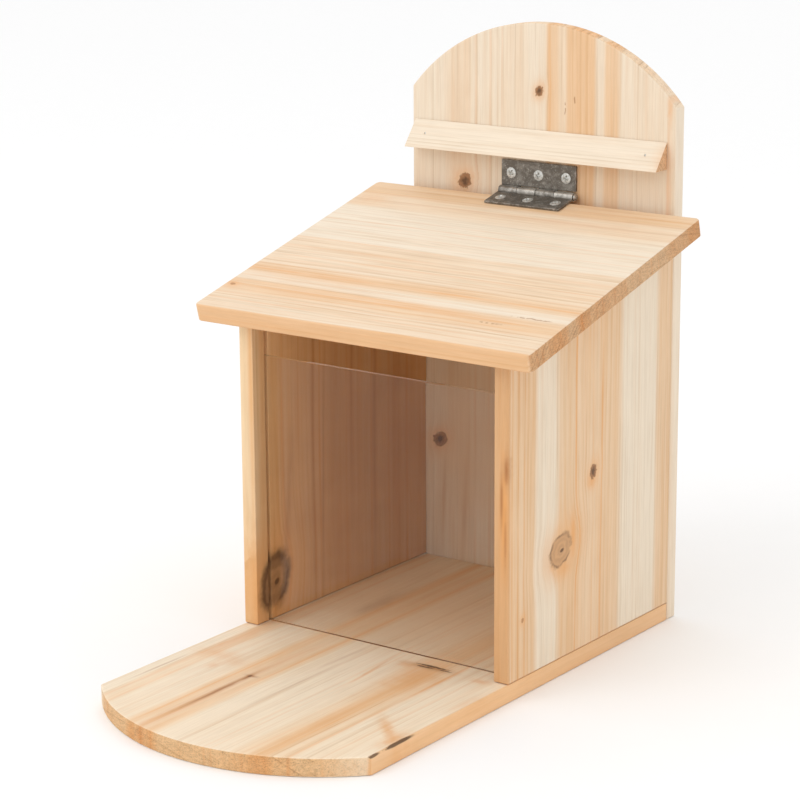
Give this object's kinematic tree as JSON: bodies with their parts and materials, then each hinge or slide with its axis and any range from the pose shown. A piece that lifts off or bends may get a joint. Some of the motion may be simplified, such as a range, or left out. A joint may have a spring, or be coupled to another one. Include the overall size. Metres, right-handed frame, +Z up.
{
  "type": "squirrel feeder",
  "caption": "Wooden feeding house with a hinged sloping lid, a clear front pane, a long landing board with a rounded front and an arched back board.",
  "frame": {"origin": "middle of the footprint, level with the bottom of the base board and back board", "axes": "+Z up, +Y to the back board that faces the tree or wall, so the landing board points along -Y, and +X to the right as seen from the front"},
  "size_m": [0.217, 0.33, 0.3335],
  "materials": {
    "base_pine": "bare planed pine, warm",
    "wall_pine": "bare planed pine, edge-glued staves",
    "back_pine": "bare planed pine, pale edge-glued staves",
    "strip_pine": "bare sawn pine, very pale",
    "lid_pine": "bare planed pine, warm",
    "clear_acrylic": "clear polished acrylic",
    "antique_steel": "dark antique plating, mottled and worn",
    "zinc_steel": "bright zinc plating"
  },
  "bodies": {
    "house": {"base_board": "base_pine", "left_wall": "wall_pine", "right_wall": "wall_pine", "back_board": "back_pine", "rain_strip": "strip_pine", "hinge_back_leaf": "antique_steel", "hinge_pin": "antique_steel", "back_leaf_screw_1": "zinc_steel", "back_leaf_screw_2": "zinc_steel", "back_leaf_screw_3": "zinc_steel", "left_wall_base_screw_1": "zinc_steel", "left_wall_base_screw_2": "zinc_steel", "right_wall_base_screw_1": "zinc_steel", "right_wall_base_screw_2": "zinc_steel", "left_wall_back_screw_1": "zinc_steel", "left_wall_back_screw_2": "zinc_steel", "left_wall_back_screw_3": "zinc_steel", "right_wall_back_screw_1": "zinc_steel", "right_wall_back_screw_2": "zinc_steel", "right_wall_back_screw_3": "zinc_steel", "left_base_back_screw": "zinc_steel", "right_base_back_screw": "zinc_steel", "left_strip_brad": "zinc_steel", "right_strip_brad": "zinc_steel"},
    "lid": {"roof_lid": "lid_pine", "hinge_lid_leaf": "antique_steel", "lid_leaf_screw_1": "zinc_steel", "lid_leaf_screw_2": "zinc_steel", "lid_leaf_screw_3": "zinc_steel"},
    "pane": {"window_pane": "clear_acrylic"}
  },
  "joints": [
    {"name": "lid_hinge", "type": "hinge", "parent": "house", "child": "lid", "pos_m": [0, 0.1531, 0.23795], "axis": [-1, 0, 0], "range_deg": [0, 82]},
    {"name": "pane_slide", "type": "slide", "parent": "house", "child": "pane", "axis": [0, 0, 1], "range_m": [0, 0.024]}
  ]
}
